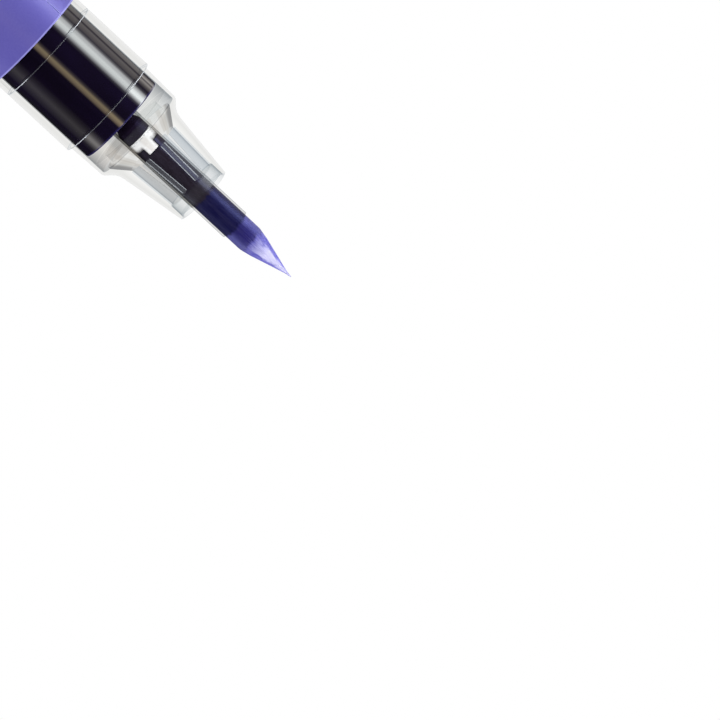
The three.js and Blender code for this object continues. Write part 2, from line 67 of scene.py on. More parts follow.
def low(node):
    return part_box(node)[0].z / MM


def high(node):
    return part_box(node)[1].z / MM


def span(node):
    return low(node), high(node)


def reach(node):
    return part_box(node)[1].x / MM


# Radii

BARREL = reach("barrel")
TANK = reach("tank")
SLEEVE = reach("nib_sleeve")
CAP_BAND = reach("cap_shell")
BORE = BARREL - 1.0
LAP = BARREL - 0.5
NECK = BARREL - 0.47
NECK_TOP = NECK - 0.18
ROOT = 5.47
TIP_RIM = 4.13
BUSH_SEAT = 3.76
GUIDE_TIP = 3.45
GUIDE_ROOT = 3.82
INNER_CONE = BORE - 0.9
SLEEVE_BORE = SLEEVE - 0.245
NIB = SLEEVE_BORE - 0.02
FEED = SLEEVE_BORE - 0.04
RUN = SLEEVE + 0.06
TANK_BORE = TANK - 0.85
BOSS = TANK_BORE - 0.04
CHAMBER = 3.0
STEM = 0.8
PIN = 1.0
HEAD = 2.4
SEAL_WIRE = 0.5
SEAL_MIDDLE = TANK_BORE - SEAL_WIRE - 0.02
GROOVE = SEAL_MIDDLE - 0.52

# Heights

SEAM_Z = high("barrel")
STEP_Z = SEAM_Z + 10.4
CORNER_Z = STEP_Z + 5.5
ROOT_Z = CORNER_Z + NECK_TOP - ROOT
FRONT_Z = high("nose_section")
TIP_Z = high("brush_nib")
INNER_Z = CORNER_Z - 0.2
CONE_TOP_Z = INNER_Z + 2.6
BUSH_SEAT_Z = FRONT_Z - 2.1

# Lengths, counts and angles

SPIGOT = 8.0
LAP_LENGTH = 5.0
SEAM_GAP = 0.12
GRIPS = 72
RIBS = 6
FINGERS = 3
FINGER_HALF = radians(27)
FINGER_ANGLES = [2 * pi * i / FINGERS - pi / 2 for i in range(FINGERS)]
PAINTED_BAR_COUNT = 16


# Shapes

def rounded(corners):
    """Replaces each corner (radius, height, fillet) by an arc of that fillet's radius."""
    line = []
    for i, corner in enumerate(corners):
        at = Vector(corner[:2])
        fillet = corner[2] if len(corner) > 2 else 0
        if not fillet:
            line.append(at)
            continue
        back = (Vector(corners[i - 1][:2]) - at).normalized()
        on = (Vector(corners[(i + 1) % len(corners)][:2]) - at).normalized()
        half = acos(max(-1, min(1, back.dot(on)))) / 2
        start = at + back * (fillet / tan(half))
        centre = at + (back + on).normalized() * (fillet / sin(half))
        arm = start - centre
        sweep = copysign(pi - 2 * half, on.x * back.y - on.y * back.x)
        steps = max(2, ceil(abs(sweep) / ARC_STEP))
        for k in range(steps + 1):
            a = sweep * k / steps
            spoke = Vector((arm.x * cos(a) - arm.y * sin(a), arm.x * sin(a) + arm.y * cos(a)))
            line.append(centre + spoke)
    return line


def new_object(name, data):
    """An object made of a mesh, a lamp or a lens, and linked to the scene."""
    made = bpy.data.objects.new(name, data)
    scene.collection.objects.link(made)
    return made


def solid(name, points, faces, crease=radians(28)):
    """An object from points in millimetres, with outward normals and sharp edges at the creases."""
    mesh = bpy.data.meshes.new(name)
    mesh.from_pydata([Vector(p) * MM for p in points], [], faces)
    form = bmesh.new()
    form.from_mesh(mesh)
    bmesh.ops.remove_doubles(form, verts=form.verts, dist=1e-7)
    bmesh.ops.recalc_face_normals(form, faces=form.faces)
    for face in form.faces:
        face.smooth = True
    for edge in form.edges:
        edge.smooth = len(edge.link_faces) == 2 and edge.calc_face_angle(0) < crease
    form.to_mesh(mesh)
    form.free()
    return new_object(name, mesh)


def turned_points(corners, sides=SIDES):
    """Points and faces of an outline turned about Z. It closes on itself, or starts and ends on the axis."""
    line = rounded(corners)
    points, faces, rings = [], [], []
    for at in line:
        if at.x < 1e-6:
            rings.append([len(points)] * sides)
            points.append((0, 0, at.y))
            continue
        rings.append(range(len(points), len(points) + sides))
        turns = [2 * pi * i / sides for i in range(sides)]
        points += [(at.x * cos(a), at.x * sin(a), at.y) for a in turns]
    closed = line[0].x > 1e-6
    for k in range(len(rings) - (0 if closed else 1)):
        here, there = rings[k], rings[(k + 1) % len(rings)]
        for i in range(sides):
            j = (i + 1) % sides
            face = list(dict.fromkeys((here[i], here[j], there[j], there[i])))
            if len(face) > 2:
                faces.append(face)
    return points, faces


def turned(name, corners, sides=SIDES):
    return solid(name, *turned_points(corners, sides))


def tube(name, inner, outer, bottom, top, edge=0.06):
    """A ring or tube with softened edges."""
    corners = [(inner, bottom, edge), (outer, bottom, edge), (outer, top, edge), (inner, top, edge)]
    return turned(name, corners)


def joined(name, *pieces):
    """One piece from several, which are removed."""
    form = bmesh.new()
    for piece in pieces:
        form.from_mesh(piece.data)
        bpy.data.objects.remove(piece)
    mesh = bpy.data.meshes.new(name)
    form.to_mesh(mesh)
    form.free()
    return new_object(name, mesh)


def block_on_arc(name, inner, outer, middle, half, bottom, top, edge=0.05, steps=14):
    """A block bent round Z, from one radius and height to another, with its upper edges softened."""
    line = rounded([(inner, bottom), (outer, bottom), (outer, top, edge), (inner, top, edge)])
    points, faces = [], []
    for i in range(steps + 1):
        a = middle - half + 2 * half * i / steps
        points += [(at.x * cos(a), at.x * sin(a), at.y) for at in line]
    n = len(line)
    for i in range(steps):
        for k in range(n):
            a, b = i * n + k, i * n + (k + 1) % n
            faces.append((a, b, b + n, a + n))
    faces += [tuple(range(n)), tuple(range(steps * n, steps * n + n))]
    return solid(name, points, faces)


# Nodes

MATH, MIX, RANGE, RAMP = "ShaderNodeMath", "ShaderNodeMix", "ShaderNodeMapRange", "ShaderNodeValToRGB"
SMOOTHLY = {"interpolation_type": "SMOOTHSTEP"}
AS_COLOUR = {"data_type": "RGBA", "out": 2}


def linear(colour):
    """A colour given as sRGB hex, as the linear values that Blender takes."""
    parts = [int(colour[i:i + 2], 16) / 255 for i in (1, 3, 5)]
    return tuple(c / 12.92 if c <= 0.04045 else ((c + 0.055) / 1.055) ** 2.4 for c in parts) + (1,)


def add(tree, kind, inputs=(), out=0, stops=(), **settings):
    """Adds a node with its settings, its colour ramp's stops and its inputs, and gives one of its outputs.

    The inputs are in order, or under their names or numbers, each a value, a hex colour or the socket that
    feeds it. A mix of colours takes its share at input 0 and its colours at 6 and 7.
    """
    node = tree.nodes.new(kind)
    for name, value in settings.items():
        setattr(node, name, value)
    for extra in range(len(stops) - 2):
        node.color_ramp.elements.new(0.5)
    for i, (place, value) in enumerate(stops):
        stop = node.color_ramp.elements[i]
        stop.position = place
        stop.color = linear(value) if isinstance(value, str) else (value, value, value, 1)
    for place, value in inputs.items() if isinstance(inputs, dict) else enumerate(inputs):
        if isinstance(value, bpy.types.NodeSocket):
            tree.links.new(value, node.inputs[place])
        else:
            node.inputs[place].default_value = linear(value) if isinstance(value, str) else value
    return node.outputs[out] if len(node.outputs) else None


def material(recipe, name, *settings, **more):
    """A new material, whose shader the recipe makes with the function that adds nodes."""
    surface = bpy.data.materials.new(name)
    surface.use_nodes = True
    surface.node_tree.nodes.clear()
    node = partial(add, surface.node_tree)
    node("ShaderNodeOutputMaterial", (recipe(node, *settings, **more),))
    return surface


def own_axes(node):
    """The x, y and z of the point that is shaded, in the piece's own coordinates."""
    place = node("ShaderNodeTexCoord", out="Object")
    return [node("ShaderNodeSeparateXYZ", (place,), axis) for axis in "XYZ"]


def side_to_side(node):
    """Where the point that is shaded lies across the marker: 0 at 8 mm towards -X, 1 at 8 mm towards +X."""
    half = 8 * MM
    return node(RANGE, (own_axes(node)[0], -half, half, 0, 1))


def angle_from_front(node, x, y):
    """The angle round Z, from -Y towards -X, in radians."""
    left, back = (node(MATH, (axis, -1.0), operation="MULTIPLY") for axis in (x, y))
    return node(MATH, (left, back), operation="ARCTAN2")


def uneven(node, size, least, most, stretch=(1, 1, 1), detail=3, rough=0.5):
    """A value that wanders from least to most over the piece, in patches of that size in millimetres."""
    place = node("ShaderNodeTexCoord", out="Object")
    laid = node("ShaderNodeMapping", {"Vector": place, "Scale": stretch})
    patches = {"Vector": laid, "Scale": 1 / (size * MM), "Detail": detail, "Roughness": rough}
    wander = node("ShaderNodeTexNoise", patches, "Fac")
    return node(RANGE, (wander, 0.3, 0.7, least, most))


# Materials

def clear_styrene(
    node, face, wall, edge, rim, gloss=0.0, places=(0.25, 0.6, 1.0), fluted=False, dusk=None, haze=(),
):
    """Injection-moulded clear styrene: see-through face on, greyer where the eye looks along a wall.

    It leaves the light that falls on what it covers whole, as a thin clear wall nearly does. It can take
    painted shade in a band beside the axis, towards +X, painted bars of light and shade round the axis, and a
    painted pale veil as stops from side to side, which is a painted highlight.
    """
    slope = node("ShaderNodeLayerWeight", {"Blend": 0.5}, "Facing")
    colours = zip((0.0, *places), (face, face, wall, edge))
    tint = node(RAMP, (slope,), stops=tuple(colours))
    shades = []
    # Painted shade: a darker band beside the axis, towards +X.
    if dusk:
        stops = ((0.6, "#FFFFFF"), (0.6125, dusk), (0.6875, dusk), (0.725, "#FFFDFB"))
        shades.append(node(RAMP, (side_to_side(node),), stops=stops))
    # Painted light and shade: lighter and darker bars round the axis.
    if fluted:
        x, y = own_axes(node)[:2]
        angle = node(MATH, (y, x), operation="ARCTAN2")
        phase = node(MATH, (angle, PAINTED_BAR_COUNT, pi), operation="MULTIPLY_ADD")
        crest = node(MATH, (phase,), operation="COSINE")
        bar_shade = node(RANGE, (crest, 0.2, -0.8, 0, 1), **SMOOTHLY)
        shades.append(node(MIX, {0: bar_shade, 6: "#FBFBFB", 7: "#EDEBE9"}, **AS_COLOUR))
    for shade in shades:
        tint = node(MIX, {0: 1.0, 6: tint, 7: shade}, blend_type="MULTIPLY", **AS_COLOUR)
    rays = [node("ShaderNodeLightPath", out=kind) for kind in ("Is Shadow Ray", "Is Diffuse Ray")]
    lighting = node(MATH, rays, operation="MAXIMUM")
    passed = node(MIX, {0: lighting, 6: tint, 7: "#FFFFFF"}, **AS_COLOUR)
    through = node("ShaderNodeBsdfTransparent", (passed,))
    steep = node(MATH, (slope, 4.0), operation="POWER")
    share = node(RANGE, (steep, 0.2, 1.0, gloss, rim))
    polish = uneven(node, 3.0, 0.035, 0.065, (1, 1, 0.3), 2)
    shine = node("ShaderNodeBsdfAnisotropic", {"Color": "#FFFFFF", "Roughness": polish})
    mixed = node("ShaderNodeMixShader", (share, through, shine))
    # Painted highlight: a pale veil, as stops from side to side.
    if haze:
        veil = node(RAMP, (side_to_side(node),), stops=haze)
        mixed = node("ShaderNodeMixShader", (veil, mixed, node("ShaderNodeBsdfDiffuse", ("#D4D9E0",))))
    return mixed


def painted_pale_styrene(node, tint, haze):
    """Clear styrene with a painted pale veil or line: a painted highlight on a slim rib or its bevels."""
    pale = node("ShaderNodeBsdfPrincipled", {
        "Base Color": "#CDD0D3", "Roughness": uneven(node, 3.0, 0.5, 0.6, (1, 1, 0.3), 2), "IOR": 1.59,
        "Specular IOR Level": 0.15,
    })
    through = node("ShaderNodeBsdfTransparent", (tint,))
    return node("ShaderNodeMixShader", (haze, through, pale))


def moulded_polypropylene(node):
    """Pigmented polypropylene from a lightly textured mould: satin, with faint flow marks along the draw."""
    flow = uneven(node, 2.5, 0, 1, (1, 1, 0.12), 2)
    texture = uneven(node, 0.12, 0, 1, detail=2)
    return node("ShaderNodeBsdfPrincipled", {
        "Base Color": node(MIX, {0: flow, 6: "#544D96", 7: "#5E58A0"}, **AS_COLOUR),
        "Roughness": uneven(node, 1.2, 0.34, 0.46), "IOR": 1.49,
        "Subsurface Weight": 0.08, "Subsurface Radius": (0.001, 0.0008, 0.002),
        "Normal": node("ShaderNodeBump", {"Height": texture, "Distance": 0.0024 * MM}),
    })


def printed_label_film(node):
    """Gravure-printed polypropylene film: even lavender ink under a satin lacquer, paler where it is cut."""
    drift = uneven(node, 9.0, 0, 1, (1, 1, 0.4), 2)
    speck = uneven(node, 0.25, 0, 0.1, detail=2)
    ink = node(MIX, {0: drift, 6: "#504B97", 7: "#5751A0"}, **AS_COLOUR)
    ink = node(MIX, {0: speck, 6: ink, 7: "#7874BD"}, **AS_COLOUR)
    cut = node("ShaderNodeAttribute", out="Fac", attribute_name="cut_edge")
    pale_share = node(RANGE, (cut, 0.2, 0.8, 0, 0.85), **SMOOTHLY)
    wrinkle = uneven(node, 0.8, 0, 1, (1, 1, 0.3))
    return node("ShaderNodeBsdfPrincipled", {
        "Base Color": node(MIX, {0: pale_share, 6: ink, 7: "#8D8BCD"}, **AS_COLOUR),
        "Roughness": uneven(node, 0.25, 0.42, 0.5), "IOR": 1.5, "Specular IOR Level": 0.3,
        "Coat Weight": 0.1, "Coat Roughness": 0.25,
        "Normal": node("ShaderNodeBump", {"Height": wrinkle, "Distance": 0.0016 * MM}),
    })


def ink_filled_styrene(node):
    """Clear styrene tube full of dark violet ink: black from outside, with a painted violet glow at its front
    rim.

    Gains are how much stronger it mirrors the soft boxes ahead of the neck's step, where the wall round it is
    thin, at angles in degrees from -Y towards -X.
    """
    x, y, z = own_axes(node)
    settled = uneven(node, 5.0, 0, 1, (1, 1, 0.25))
    ink = node(MIX, {0: settled, 6: "#08030F", 7: "#0F0720"}, **AS_COLOUR)
    top = high("tank")
    # Painted glow: the front rim is painted a lighter violet.
    rim = node(RANGE, (z, (top - 0.4) * MM, (top - 0.05) * MM, 0, 0.9), **SMOOTHLY)
    polish = uneven(node, 5.0, 0.055, 0.075)
    shoulder = STEP_Z + 0.18
    front = node(RANGE, (z, (shoulder - 0.03) * MM, (shoulder + 0.03) * MM, 0, 1))
    shader = node("ShaderNodeBsdfPrincipled", {
        "Base Color": node(MIX, {0: rim, 6: ink, 7: "#221D50"}, **AS_COLOUR),
        "Roughness": polish, "IOR": 1.57,
        "Specular IOR Level": node(RANGE, (front, 0, 1, 0.5, 0)),
    })
    strongest = 6.0
    gains = (
        (-56, 0.8), (-43, 5.4), (-29, 1.2), (20, 1.3), (33, 1.5), (40, 1), (44, 0.3), (49, 0.3), (54, 1.1),
        (64, 3.5), (71, 1.2), (77, 0.1), (86, 1),
    )
    stops = [(degrees / 180 + 0.5, gain / strongest) for degrees, gain in gains]
    around = node(RANGE, (angle_from_front(node, x, y), -pi / 2, pi / 2, 0, 1))
    gain = node(RAMP, (around,), stops=stops)
    mirrored = node(MATH, (node("ShaderNodeFresnel", {"IOR": 1.57}), gain), operation="MULTIPLY")
    share = node(MATH, (front, strongest), operation="MULTIPLY")
    strength = node(MATH, (mirrored, share), operation="MULTIPLY")
    shine = node("ShaderNodeBsdfAnisotropic", {"Color": strength, "Roughness": polish})
    return node("ShaderNodeAddShader", (shader, shine))


def inked_fibre(node):
    """Bonded acrylic fibre: soaked with violet ink behind, brushed nearly dry and paler at the point, under
    painted highlights and sheen.
    """
    x, y, z = own_axes(node)
    behind = node(RANGE, (z, (TIP_Z - 20) * MM, TIP_Z * MM, 0, 1))
    dry = node(MATH, (behind, uneven(node, 0.42, -0.008, 0.008, (1, 1, 0.16))), operation="ADD")
    # Colour along the nib, paling towards the point. The step to brighter violet where the taper starts is
    # painted light.
    body = node(RAMP, (dry,), stops=(
        (0.0, "#1E171A"), (0.228, "#1E1719"), (0.24, "#08062D"), (0.508, "#080632"), (0.522, "#1B174E"),
        (0.64, "#221D5C"), (0.655, "#4C4994"), (0.73, "#5350A4"), (0.88, "#6C69BA"), (1.0, "#8E8BCC"),
    ))
    # Painted sheen: between the sleeve and the taper, the nib is painted lighter everywhere but on its side
    # towards -Y.
    squares = [node(MATH, (axis, axis), operation="MULTIPLY") for axis in (x, y)]
    radius = node(MATH, (node(MATH, squares, operation="ADD"),), operation="SQRT")
    towards_front = node(MATH, (y, radius), operation="DIVIDE")
    sideways = node(RANGE, (towards_front, -0.99, -0.62, 0, 1), **SMOOTHLY)
    wet = node(RAMP, (dry,), stops=((0.508, 0), (0.525, 1), (0.64, 1), (0.67, 0)))
    thin = node(MATH, (sideways, wet), operation="MULTIPLY")
    body = node(MIX, {0: thin, 6: body, 7: "#45447E"}, **AS_COLOUR)
    # Painted highlight: near the point, the side towards -Y is painted pale, with a ragged edge.
    jitter = uneven(node, 0.42, -0.14, 0.14, (1, 1, 0.16))
    front = node(MATH, (jitter, towards_front), operation="SUBTRACT")
    painted_highlight = node(RANGE, (front, 0.69, 0.95, 0, 1), **SMOOTHLY)
    near_point = node(RANGE, (dry, 0.65, 0.78, 0, 1))
    pale_share = node(MATH, (painted_highlight, near_point), operation="MULTIPLY")
    colour = node(MIX, {0: pale_share, 6: body, 7: "#BDBBDE"}, **AS_COLOUR)
    # Painted highlight streaks along the fibres, stronger towards the point; the same pattern gives the
    # fibres' bumps.
    fibres = uneven(node, 0.16, 0, 1, (1, 1, 0.10), 4, 0.65)
    streak = node(RANGE, (fibres, 0.3, 0.95, 0, 1))
    paler = node(RANGE, (dry, 0.61, 0.67, 0.02, 0.22))
    lit = node(MATH, (streak, paler), operation="MULTIPLY")
    return node("ShaderNodeBsdfPrincipled", {
        "Base Color": node(MIX, {0: lit, 6: colour, 7: "#B4B2D6"}, **AS_COLOUR),
        "Roughness": node(RANGE, (behind, 0.52, 0.82, 0.42, 0.68)), "IOR": 1.46,
        "Specular IOR Level": 0.4, "Specular Tint": "#8C95E6", "Sheen Weight": 0.12, "Sheen Tint": "#9FA6E8",
        "Normal": node("ShaderNodeBump", {"Height": fibres, "Distance": 0.012 * MM, "Strength": 0.7}),
    })


def ink_soaked_wick(node):
    """A bonded wick soaked with ink: nearly black, damp and slightly fibrous."""
    fibres = uneven(node, 0.2, 0, 1, (1, 1, 0.15))
    return node("ShaderNodeBsdfPrincipled", {
        "Base Color": node(MIX, {0: fibres, 6: "#150D1B", 7: "#1E1427"}, **AS_COLOUR),
        "Roughness": uneven(node, 0.2, 0.5, 0.6), "IOR": 1.48,
        "Specular IOR Level": 0.2, "Specular Tint": "#8C95E6",
        "Normal": node("ShaderNodeBump", {"Height": fibres, "Distance": 0.004 * MM}),
    })


def white_acetal(node, stained=False):
    """Moulded white acetal: smooth and faintly waxy, and for the crown darker between its fingers near the
    disc's top.
    """
    cloud = uneven(node, 1.5, 0, 1, detail=2)
    colour = node(MIX, {0: cloud, 6: "#F6F6F5", 7: "#FEFEFE"}, **AS_COLOUR)
    # Darker between the fingers, from just below the disc's top upwards, with a ragged lower edge.
    if stained:
        x, y, z = own_axes(node)
        turn = node(MATH, (y, x), operation="ARCTAN2")
        angle = node(MATH, (turn, FINGERS, 3 * pi / 2), operation="MULTIPLY_ADD")
        finger = node(MATH, (angle,), operation="COSINE")
        between = node(RANGE, (finger, 0.6, -0.1, 0, 1), **SMOOTHLY)
        reached = node(MATH, (z, uneven(node, 0.5, -0.08 * MM, 0.08 * MM)), operation="ADD")
        top = high("nib_holder")
        soaked = node(RANGE, (reached, (top - 1.75) * MM, (top - 1.0) * MM, 0, 1), **SMOOTHLY)
        share = node(MATH, (soaked, between), operation="MULTIPLY")
        colour = node(MIX, {0: share, 6: colour, 7: "#2A252B"}, **AS_COLOUR)
    return node("ShaderNodeBsdfPrincipled", {
        "Base Color": colour, "Roughness": uneven(node, 1.5, 0.34, 0.44), "IOR": 1.48,
        "Normal": node("ShaderNodeBump", {"Height": uneven(node, 0.3, 0, 1), "Distance": 0.0012 * MM}),
    })


def pale_silicone(node):
    """Cast translucent silicone: milky, with a dull skin."""
    slope = node("ShaderNodeLayerWeight", {"Blend": 0.5}, "Facing")
    # Painted shade: a darker band beside the axis, towards +X.
    stops = ((0.6, "#F6F7F7"), (0.64, "#ECEBEA"), (0.72, "#ECEBEA"), (0.8, "#F3F3F3"))
    through = node("ShaderNodeBsdfTransparent", (node(RAMP, (side_to_side(node),), stops=stops),))
    cloud = uneven(node, 0.6, 0, 1)
    milk = node("ShaderNodeBsdfPrincipled", {
        "Base Color": node(MIX, {0: cloud, 6: "#D3D8DA", 7: "#E2E6E7"}, **AS_COLOUR),
        "Roughness": 0.5, "IOR": 1.41,
    })
    share = node(RANGE, (slope, 0, 1, 0.01, 0.07))
    return node("ShaderNodeMixShader", (share, through, milk))


def moulded_nitrile(node):
    """Moulded nitrile rubber: charcoal, matt, with a trace of talc."""
    talc = uneven(node, 0.25, 0, 1, detail=4)
    dusty = node(RANGE, (talc, 0.5, 1, 0, 1))
    return node("ShaderNodeBsdfPrincipled", {
        "Base Color": node(MIX, {0: dusty, 6: "#1D1D1F", 7: "#34343A"}, **AS_COLOUR),
        "Roughness": uneven(node, 0.25, 0.5, 0.7, detail=4), "IOR": 1.52,
        "Normal": node("ShaderNodeBump", {"Height": talc, "Distance": 0.002 * MM}),
    })


def stainless_steel(node, dark, bright, rough):
    """Stainless steel, drawn to wire or tumbled to a ball: bright, with fine marks."""
    marks = uneven(node, 0.15, 0, 1, (1, 1, 3), 4)
    return node("ShaderNodeBsdfPrincipled", {
        "Base Color": node(MIX, {0: marks, 6: dark, 7: bright}, **AS_COLOUR),
        "Metallic": 1.0,
        "Roughness": uneven(node, 0.15, rough - 0.06, rough + 0.08, (1, 1, 3), 4),
        "Normal": node("ShaderNodeBump", {"Height": marks, "Distance": 0.0008 * MM}),
    })


def open_cell_foam(node):
    """Open-cell polyurethane foam: grey, with pores a third of a millimetre across."""
    place = node("ShaderNodeTexCoord", out="Object")
    cells = node("ShaderNodeTexVoronoi", {"Vector": place, "Scale": 1 / (0.35 * MM)}, "Distance")
    pore = node(RANGE, (cells, 0.15, 0.6, 0, 1))
    return node("ShaderNodeBsdfPrincipled", {
        "Base Color": node(MIX, {0: pore, 6: "#49494C", 7: "#818184"}, **AS_COLOUR),
        "Roughness": 0.95, "IOR": 1.45,
        "Normal": node("ShaderNodeBump", {"Height": pore, "Distance": 0.15 * MM}),
    })


clear = partial(material, clear_styrene)

CLEAR = clear("moulded_clear_styrene", "#FDFDFC", "#F2F2F1", "#FAFAFA", 0.05)
# Bore and snout walls take painted shade in a band beside the axis, towards +X.
BORE_WALL = clear("moulded_clear_styrene_bore", "#FAFAFA", "#ECEDEF", "#C8CDD1", 0.05, dusk="#F2F2F2")
SNOUT = clear("moulded_clear_styrene_snout", "#F4F5F6", "#ECEEF0", "#CACFD4", 0.05, dusk="#F4F2F0")
SEAT = clear("moulded_clear_styrene_seat", "#F4F5F6", "#ECEEF0", "#CACFD4", 0.05)
# The inner cone's bars of light and shade are painted.
CONE = clear("fluted_clear_styrene", "#F8F8F8", "#F3F3F2", "#D1D2D4", 0.05, 0.0, (0.28, 0.5, 0.66), True)
EDGE = clear("moulded_clear_styrene_edge", "#FAFBFB", "#F5F6F7", "#EAECEE", 0.04)
FLANGE = clear("moulded_clear_styrene_flange", "#F3F4F4", "#ECEDED", "#F4F4F4", 0.05)
JOINT = clear("solvent_welded_styrene", "#FFFFFF", "#FEFEFE", "#FCFCFC", 0.01)
# The bushing's pale veil, strongest towards -X, is a painted highlight.
BUSHING = clear("moulded_clear_bushing", "#FDFDFD", "#F8F9F9", "#EDF0F1", 0.06, haze=(
    (0.39, 0.095), (0.46, 0.006), (0.56, 0.006), (0.6, 0.02),
))
TUBE = clear("extruded_clear_tube", "#FDFDFD", "#EEEEEE", "#D2D3D4", 0.08)
# Where the snout covers it, the sleeve has darker walls and that band: painted shade.
COVERED_TUBE = clear("extruded_clear_tube_covered", "#FDFDFD", "#E7E7E7", "#C9CACB", 0.08, dusk="#DCDAD7")
# The rounded seam and step corners take a painted pale veil in two bands, 4.8 to 6.4 mm each side: painted
# highlights.
CORNER = clear("moulded_clear_styrene_corner", "#E8EAEC", "#E2E5E7", "#DDE0E3", 0.05, 0.05, haze=(
    (0.088, 0.04), (0.1, 0.75), (0.2, 0.75), (0.26, 0.1),
    (0.75, 0.07), (0.8, 0.7), (0.9, 0.7), (0.912, 0.04),
))
# Ribs and their bevels take a painted pale veil: painted highlights.
RIB = material(painted_pale_styrene, "clear_styrene_rib", "#F4F6F8", 0.04)
RIB_EDGE = material(painted_pale_styrene, "clear_styrene_rib_edge", "#F2F3F4", 0.62)
LAVENDER = material(moulded_polypropylene, "moulded_lavender_polypropylene")
FILM = material(printed_label_film, "printed_label_film")
INK = material(ink_filled_styrene, "ink_filled_styrene")
FIBRE = material(inked_fibre, "inked_acrylic_fibre")
WICK = material(ink_soaked_wick, "ink_soaked_wick")
WHITE = material(white_acetal, "moulded_white_acetal")
CROWN = material(white_acetal, "moulded_white_acetal_crown", stained=True)
SILICONE = material(pale_silicone, "cast_pale_silicone")
RUBBER = material(moulded_nitrile, "moulded_nitrile_rubber")
WIRE = material(stainless_steel, "drawn_stainless_wire", "#8E9094", "#C6C8CB", 0.24)
BALL = material(stainless_steel, "tumbled_steel_ball", "#9DA0A4", "#D2D4D6", 0.14)
FOAM = material(open_cell_foam, "open_cell_polyurethane_foam")


def dress(piece, surface, replaced, body="marker"):
    """Gives a piece its material and the body it rides on, and hides the CAD node that it stands for."""
    piece.data.materials.clear()
    piece.data.materials.append(surface)
    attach(piece, body)
    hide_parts(replaced)
    return piece


def dress_faces(piece, surface, chosen):
    """Gives a second material to the faces that the test chooses."""
    piece.data.materials.append(surface)
    for face in piece.data.polygons:
        face.material_index = int(chosen(face))
    return piece


def pressed_ends(piece, above):
    """Makes the end faces above a height as clear as two faces that are pressed together without air."""
    def is_end(face):
        return abs(face.normal.z) > END_SLOPE and face.center.z > above * MM

    return dress_faces(piece, JOINT, is_end)


def clear_faces(piece, welded, corners=()):
    """Sorts a clear moulding's faces: bores, cone, seat, steps and ends, and the joint closed by solvent.

    Corners are the heights whose rounded outer corner shows as a line with painted highlights.
    """
    finishes = (CLEAR, BORE_WALL, EDGE, JOINT, SNOUT, CONE, CORNER, SEAT)
    for surface in finishes[1:]:
        piece.data.materials.append(surface)
    for face in piece.data.polygons:
        x, y, z = face.center / MM
        out, normal = hypot(x, y), face.normal
        if welded(out, z):
            surface = JOINT
        elif any(abs(z - corner) < 0.2 for corner in corners) and out > NECK and abs(normal.z) < 0.95:
            surface = CORNER
        elif abs(normal.z) > END_SLOPE:
            surface = EDGE
        elif normal.x * x + normal.y * y >= 0:
            surface = CLEAR
        elif z < INNER_Z:
            surface = BORE_WALL
        elif z > BUSH_SEAT_Z:
            surface = SEAT
        else:
            surface = SNOUT if z > CONE_TOP_Z - 0.15 else CONE
        face.material_index = finishes.index(surface)
    return piece


# Geometry nodes

def new_form(name, *sockets):
    """A geometry tree with inputs given as (name, kind) pairs, and the function that adds nodes to it."""
    tree = bpy.data.node_groups.new(name, "GeometryNodeTree")
    tree.interface.new_socket("Geometry", in_out="INPUT", socket_type="NodeSocketGeometry")
    for label, kind in sockets:
        tree.interface.new_socket(label, in_out="INPUT", socket_type=kind)
    tree.interface.new_socket("Geometry", in_out="OUTPUT", socket_type="NodeSocketGeometry")
    return tree, partial(add, tree)


def finish_form(node, geometry, surface):
    """Makes the instances real, sets their material and closes the tree."""
    real = node("GeometryNodeRealizeInstances", (geometry,))
    node("NodeGroupOutput", (node("GeometryNodeSetMaterial", {"Geometry": real, "Material": surface}),))


def keep_modified(piece):
    """Keeps what the piece's modifier makes of it as its plain mesh."""
    graph = bpy.context.evaluated_depsgraph_get()
    mesh = bpy.data.meshes.new_from_object(piece.evaluated_get(graph))
    piece.modifiers.clear()
    piece.data = mesh
    return mesh


def formed(piece, tree, **values):
    """Runs the tree on a piece with those values, and keeps the result with the tree's material alone."""
    step = piece.modifiers.new("form", "NODES")
    step.node_group = tree
    for item in tree.interface.items_tree:
        if item.in_out == "INPUT" and item.name in values:
            step[item.identifier] = values[item.name]
    mesh = keep_modified(piece)
    surface = mesh.materials[-1]
    mesh.materials.clear()
    mesh.materials.append(surface)
    mesh.polygons.foreach_set("material_index", [0] * len(mesh.polygons))
    return piece


def repeat_round_axis(name, surface):
    """Repeats the piece round Z, Count times, from the angle Phase."""
    tree, node = new_form(name, ("Count", "NodeSocketInt"), ("Phase", "NodeSocketFloat"))
    count, phase = (node("NodeGroupInput", out=label) for label in ("Count", "Phase"))
    places = node("GeometryNodePoints", {"Count": count})
    share = node(MATH, (node("GeometryNodeInputIndex"), count), operation="DIVIDE")
    angle = node(MATH, (share, 2 * pi, phase), operation="MULTIPLY_ADD")
    turn = node("FunctionNodeEulerToRotation", (node("ShaderNodeCombineXYZ", {"Z": angle}),))
    piece = node("NodeGroupInput", out="Geometry")
    copies = node("GeometryNodeInstanceOnPoints", {"Points": places, "Instance": piece, "Rotation": turn})
    finish_form(node, copies, surface)
    return tree


